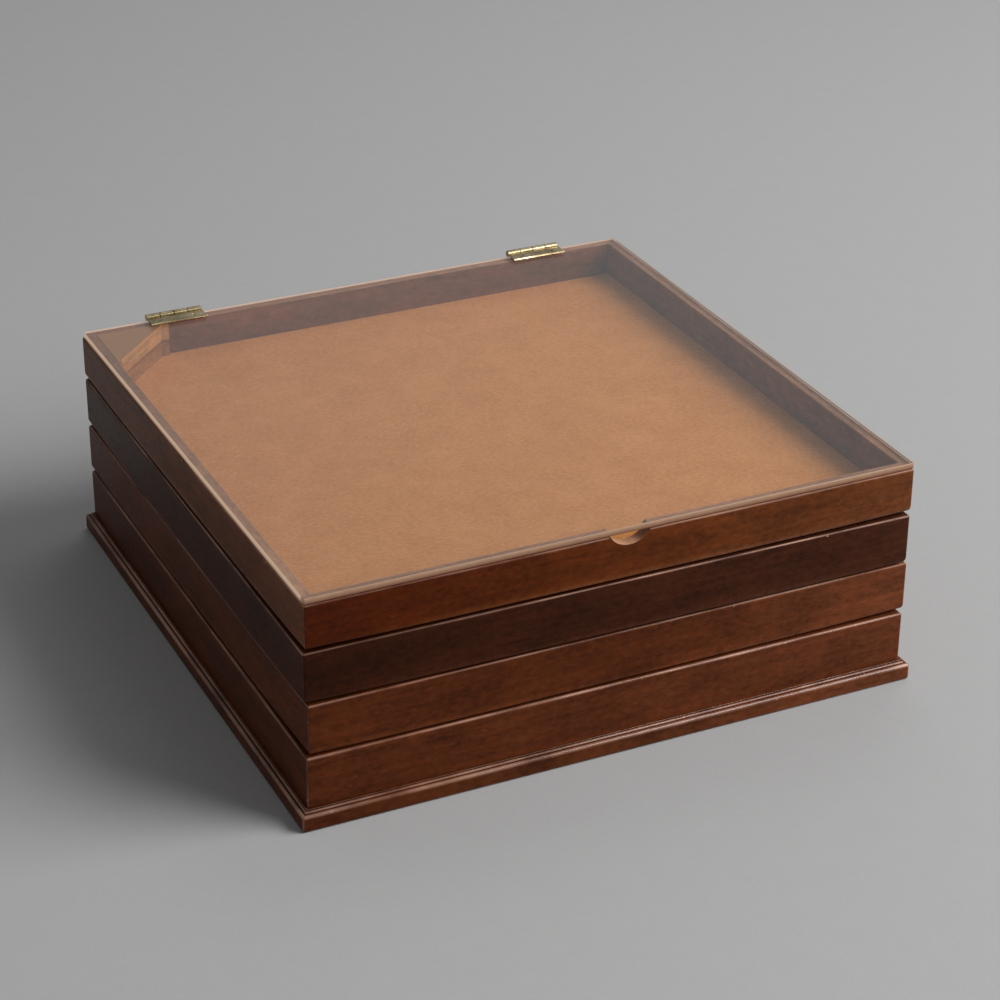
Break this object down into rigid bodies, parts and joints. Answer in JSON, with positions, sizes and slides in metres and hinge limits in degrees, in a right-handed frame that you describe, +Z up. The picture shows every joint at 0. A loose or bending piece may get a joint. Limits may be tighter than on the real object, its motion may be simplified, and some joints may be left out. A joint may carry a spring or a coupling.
{
  "type": "jewelry display box",
  "caption": "Square wooden jewelry display box with stacked trays that fan out about a corner pivot, a moulded base and a clear hinged lid over the top tray.",
  "frame": {"origin": "middle of the base moulding's underside, on the table", "axes": "+Z up, +X right along the front, +Y to the rear, where the lid is hinged"},
  "size_m": [0.313, 0.313, 0.1174],
  "materials": {
    "stained_wood": "dark mahogany stain under satin lacquer, worn paler along the edges",
    "block_wood": "lighter stain on sawn corner blocks",
    "hardboard": "matt tan hardboard, faintly mottled",
    "acrylic": "clear, glossy, finely scratched, with polished edges",
    "brass": "aged, brown in the recesses and bright on the edges",
    "steel": "zinc plated",
    "felt": "thin felt"
  },
  "bodies": {
    "base": {"base_front_moulding": "stained_wood", "base_right_moulding": "stained_wood", "base_rear_moulding": "stained_wood", "base_left_moulding": "stained_wood", "base_tier_front_wall": "stained_wood", "base_tier_right_wall": "stained_wood", "base_tier_rear_wall": "stained_wood", "base_tier_left_wall": "stained_wood", "base_tier_floor_panel": "hardboard", "base_tier_pivot_block": "block_wood", "bolt_head_washer": "steel"},
    "third_tier": {"third_tier_front_wall": "stained_wood", "third_tier_right_wall": "stained_wood", "third_tier_rear_wall": "stained_wood", "third_tier_left_wall": "stained_wood", "third_tier_floor_panel": "hardboard", "third_tier_pivot_block": "block_wood", "third_tier_pivot_washer": "steel", "third_tier_felt_glides": "felt"},
    "second_tier": {"second_tier_front_wall": "stained_wood", "second_tier_right_wall": "stained_wood", "second_tier_rear_wall": "stained_wood", "second_tier_left_wall": "stained_wood", "second_tier_floor_panel": "hardboard", "second_tier_pivot_block": "block_wood", "second_tier_pivot_washer": "steel", "second_tier_felt_glides": "felt"},
    "top_tier": {"top_tier_front_wall": "stained_wood", "top_tier_right_wall": "stained_wood", "top_tier_rear_wall": "stained_wood", "top_tier_left_wall": "stained_wood", "top_tier_floor_panel": "hardboard", "top_tier_pivot_block": "block_wood", "top_tier_pivot_washer": "steel", "top_tier_felt_glides": "felt", "threaded_insert": "brass", "pivot_bolt": "steel", "left_hinge_wall_leaf": "brass", "left_hinge_pin": "brass", "left_hinge_wall_screws": "brass", "right_hinge_wall_leaf": "brass", "right_hinge_pin": "brass", "right_hinge_wall_screws": "brass"},
    "lid": {"left_hinge_lid_leaf": "brass", "left_hinge_lid_screws": "brass", "right_hinge_lid_leaf": "brass", "right_hinge_lid_screws": "brass", "acrylic_lid": "acrylic"}
  },
  "joints": [
    {"name": "third_tier_swivel", "type": "hinge", "parent": "base", "child": "third_tier", "pos_m": [-0.1355, 0.1355, 0], "axis": [0, 0, 1], "continuous": true},
    {"name": "second_tier_swivel", "type": "hinge", "parent": "base", "child": "second_tier", "pos_m": [-0.1355, 0.1355, 0], "axis": [0, 0, 1], "continuous": true},
    {"name": "top_tier_swivel", "type": "hinge", "parent": "base", "child": "top_tier", "pos_m": [-0.1355, 0.1355, 0], "axis": [0, 0, 1], "continuous": true},
    {"name": "lid_hinge", "type": "hinge", "parent": "top_tier", "child": "lid", "pos_m": [-0.00005, 0.15326, 0.1156], "axis": [-1, -0.0026, 0], "range_deg": [0, 180]}
  ]
}
